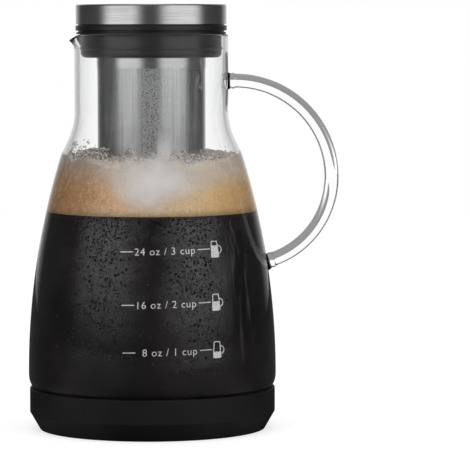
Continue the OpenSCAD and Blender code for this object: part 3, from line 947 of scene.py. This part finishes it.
wear(moulded("boot_silicone", (0.006, 0.0062, 0.0064), (0.0095, 0.0098, 0.0102), 0.62, 0.03 * MM,
             Specular_IOR_Level=0.25), "base_boot")
wear(moulded("collar_silicone", (0.01, 0.01, 0.0105), (0.015, 0.015, 0.0155), 0.38, 0.01 * MM),
     "filter_collar")
wear(moulded("lid_plastic", (0.009, 0.009, 0.0095), (0.013, 0.013, 0.0135), 0.34, 0.01 * MM),
     "lid_core", "lid_plug")
wear(moulded("gasket_silicone", (0.022, 0.022, 0.023), (0.03, 0.03, 0.031), 0.5, 0.02 * MM), "lid_gasket")
wear(brushed_steel("lid_steel", (0.5, 0.5, 0.505), (0.78, 0.78, 0.785), 0.22), "lid_cap")
wear(brushed_steel("filter_band_steel", (0.58, 0.58, 0.585), (0.72, 0.72, 0.725), 0.2),
     "filter_top_band", "filter_bottom_cap")
wear(brushed_steel("seam_steel", (0.4, 0.4, 0.405), (0.6, 0.6, 0.605), 0.3), "filter_seam")
wear(etched_mesh("filter_mesh_steel"), "filter_mesh")

# -------- new pieces
make_carafe(clear_glass("clear_glass"))
make_coffee(black_coffee("coffee"))
make_foam(crema("foam"))
make_froth(froth_bubbles("froth"))
make_marks(white_print("print"))
make_fog(fog("mist"))
make_beads(water("water"))


# -------- studio
# Places are in metres, and angles in degrees. A lamp's sector is counted from the front towards the handle.
FLOOR_R = 1.75
FLOOR_GREY = 0.42
FLOOR_GREY_IN_GLASS = 0.3
FLOOR_DARK = 0.04
# The distances over which the floor turns white to the camera, through the carafe and through the handle, and
# over which the lamps' glow grows.
FAR = (0.45, 0.8)
PAST_CARAFE = (0.38, 0.5)
PAST_HANDLE = (0.45, 0.85)
GLOW = (0.25, 0.9)
LAMP_SECTORS = (("left", -82, -9), ("right", 9, 89))
LAMP_AWAY = 1.2
LAMP_RADIANCE = 1.05
LAMP_SPLIT_Z = 0.75
# The share of a lamp's width over which it fades at each side, and of its height at its foot.
SIDE_FADE = 0.3
FOOT_FADE = 0.3
NO_FADE = 0.001
TOP_LAMP_SIZE = 1.5
TOP_LAMP_RADIANCE = 1.3
TOP_LAMP_PLACE = (0, 0.1, 1.7)
# How bright the world is: as a fill, in its parts that reflections show, and in its ring seen through glass.
FILL = 0.58
BACKDROP = 0.8
BACKDROP_SIDES = 0.06
OVERHEAD = 0.35
INSIDE_GLASS = 0.55
RING = 0.12
CAMERA_PLACE = (0.0408, -1.5, 0.1972)
CAMERA_AIM = (0.0408, 0, 0.0947)
CAMERA_ROLL = -0.11


def past_handle(tree, x, y):
    """1 on the part of the floor that shows where the upright part of the handle bends its rays a little
    sideways. It is white there, so that the handle's grey edges stay thin."""
    aside = math_node(tree, "ARCTAN2", off_from(tree, x, 70 * MM), y)
    return times(tree, span(tree, aside, math.radians(14), math.radians(26)),
                 span(tree, aside, math.radians(41), math.radians(35)))


def make_floor():
    """A pale table top that keeps the object's soft shadow. To the camera it is white. Through glass it is
    grey, but white far off, past the carafe and part of the handle. Mirrored, it is dark with a glow."""
    bm = bmesh.new()
    bmesh.ops.create_circle(bm, cap_ends=True, radius=FLOOR_R, segments=96)
    made, tree, shader = new_material("table_top", Roughness=0.9, Emission_Color=(1, 1, 1, 1))
    rays = add_node(tree, "ShaderNodeLightPath").outputs
    x, y = axes(tree, object_place(tree))[:2]
    reach = flat_length(tree, y, x)
    far = span(tree, reach, *FAR)
    seen_grey = mix_colour(tree, rays["Is Transmission Ray"], grey(FLOOR_GREY), grey(FLOOR_GREY_IN_GLASS))
    pale = mix_colour(tree, times(tree, rays["Is Camera Ray"], far), seen_grey, grey(0.0))
    side = off_from(tree, turn_from_front(tree, x, y))
    sector = times(tree, span(tree, side, math.radians(9), math.radians(32)),
                   span(tree, side, math.radians(88), math.radians(60)))
    glow = times(tree, sector, span(tree, reach, *GLOW, 0.35, 1.0))
    dark = mix_colour(tree, glow, grey(FLOOR_DARK), grey(1.0))
    mirrored = math_node(tree, "SUBTRACT", rays["Is Glossy Ray"], rays["Is Transmission Ray"], clamp=True)

    deep = math_node(tree, "GREATER_THAN", rays["Transmission Depth"], 2.5)
    past_hollow = times(tree, deep, span(tree, reach, *PAST_CARAFE))
    past_upright = times(tree, past_handle(tree, x, y), span(tree, reach, *PAST_HANDLE))
    unreflected = math_node(tree, "LESS_THAN", rays["Glossy Depth"], 0.5)
    through = times(tree, rays["Is Transmission Ray"], unreflected, larger(tree, past_hollow, past_upright))
    white = times(tree, rays["Is Camera Ray"], mix_number(tree, far, 0.68, 1.0))
    set_inputs(shader, {
        "Base Color": mix_colour(tree, mirrored, pale, dark),
        "Emission Strength": larger(tree, white, through),
    })
    floor = new_object("table_top", finished_mesh("table_top", bm))
    floor.data.materials.append(made)


def place_lamp(name, width, height, radiance, place):
    """A flat lamp that faces down, as bright as its radiance however large it is."""
    lamp = bpy.data.lights.new(name, "AREA")
    lamp.shape = "RECTANGLE"
    lamp.size = width
    lamp.size_y = height
    lamp.energy = radiance * math.pi * width * height
    made = new_object(name, lamp)
    made.location = place
    return made


def soften_lamp(lamp, foot_share):
    """Fades a lamp towards its two sides and its foot, so that its reflections have no hard outline."""
    lamp.use_nodes = True
    tree = lamp.node_tree
    across, up = axes(tree, add_node(tree, "ShaderNodeNewGeometry").outputs["Parametric"])[:2]
    near_side = math_node(tree, "MINIMUM", across, math_node(tree, "SUBTRACT", 1.0, across))
    sides = span(tree, near_side, 0.0, SIDE_FADE, interpolation_type="SMOOTHSTEP")
    foot = span(tree, up, 0.0, foot_share, interpolation_type="SMOOTHSTEP")
    set_inputs(tree.nodes["Emission"], {"Strength": times(tree, sides, foot)})


def soft_box(name, low_deg, high_deg, foot_z, top_z, foot_share, mirrored):
    """An upright lamp that spans a sector of the front, and shows in reflections or not."""
    middle = math.radians((low_deg + high_deg) / 2)
    width = 2 * LAMP_AWAY * math.tan(math.radians(high_deg - low_deg) / 2)
    away = Vector((math.sin(middle), -math.cos(middle), 0))
    place = away * LAMP_AWAY + Vector((0, 0, (foot_z + top_z) / 2))
    made = place_lamp(name, width, top_z - foot_z, LAMP_RADIANCE, place)
    soften_lamp(made.data, foot_share)
    made.rotation_euler = away.to_track_quat("Z", "Y").to_euler()
    made.visible_glossy = mirrored


def world_in_reflections(tree, x, y, z, rays):
    """A pale backdrop with dark sides and a grey patch overhead. Rays that the glass's own wall turns back
    see at least a pale studio, so that thick glass is not black."""
    off_back = off_from(tree, math_node(tree, "ARCTAN2", x, y))
    backdrop = span(tree, off_back, math.radians(43), math.radians(14), BACKDROP_SIDES, BACKDROP)
    studio = larger(tree, backdrop, span(tree, z, 0.7, 0.92, 0.0, OVERHEAD))
    turned_back = times(tree, math_node(tree, "GREATER_THAN", rays["Glossy Depth"], 0.5),
                        math_node(tree, "GREATER_THAN", rays["Transmission Depth"], 0.5),
                        math_node(tree, "LESS_THAN", rays["Transmission Depth"], 3.5), INSIDE_GLASS)
    return larger(tree, studio, turned_back)


def world_through_glass(tree, y, z):
    """White, with a dark ring round the camera's line of sight that draws the outlines of the glass."""
    ahead = off_from(tree, y)
    above_floor = span(tree, z, -0.18, -0.14)
    ring = times(tree, span(tree, ahead, 0.44, 0.5), span(tree, ahead, 0.83, 0.78), above_floor)
    return mix_number(tree, ring, 1.0, RING)


def make_world():
    """White to the camera, with an even fill on rough surfaces, and its own look in glass and reflections."""
    world = bpy.data.worlds.new("studio")
    bpy.context.scene.world = world
    world.use_nodes = True
    world.cycles.sampling_method = "NONE"
    tree = world.node_tree
    tree.nodes.clear()
    x, y, z = axes(tree, add_node(tree, "ShaderNodeTexCoord").outputs["Generated"])
    rays = add_node(tree, "ShaderNodeLightPath").outputs
    reflected = world_in_reflections(tree, x, y, z, rays)
    unreflected = math_node(tree, "LESS_THAN", rays["Glossy Depth"], 0.5)
    straight = times(tree, unreflected, rays["Is Transmission Ray"])
    lit = mix_number(tree, straight, reflected, world_through_glass(tree, y, z))
    soft = math_node(tree, "GREATER_THAN", rays["Diffuse Depth"], 0.5)
    filled = mix_number(tree, soft, lit, FILL)
    shown = larger(tree, filled, rays["Is Camera Ray"])
    background = add_node(tree, "ShaderNodeBackground", {"Color": shown, "Strength": 1.0})
    set_inputs(add_node(tree, "ShaderNodeOutputWorld"), {"Surface": background.outputs[0]})


def make_camera():
    """Low in front, a long way back, as the photograph was taken."""
    lens = bpy.data.cameras.new("camera")
    lens.lens = 234.4
    lens.sensor_width = 36
    lens.clip_end = 20
    camera = new_object("camera", lens)
    camera.location = CAMERA_PLACE
    aim = Vector(CAMERA_AIM) - camera.location
    roll = Matrix.Rotation(math.radians(CAMERA_ROLL), 4, "Z")
    camera.rotation_euler = (aim.to_track_quat("-Z", "Y").to_matrix().to_4x4() @ roll).to_euler()
    bpy.context.scene.camera = camera


make_floor()
# Only the lower lamps show in reflections.
for side, low_deg, high_deg in LAMP_SECTORS:
    soft_box(side + "_box", low_deg, high_deg, 0.0, LAMP_SPLIT_Z, FOOT_FADE, True)
    soft_box(side + "_high_box", low_deg, high_deg, LAMP_SPLIT_Z, 2 * LAMP_SPLIT_Z, NO_FADE, False)
top_lamp = place_lamp("top_box", TOP_LAMP_SIZE, TOP_LAMP_SIZE, TOP_LAMP_RADIANCE, TOP_LAMP_PLACE)
top_lamp.visible_glossy = False
make_world()
make_camera()
bpy.context.scene.view_settings.view_transform = "Standard"
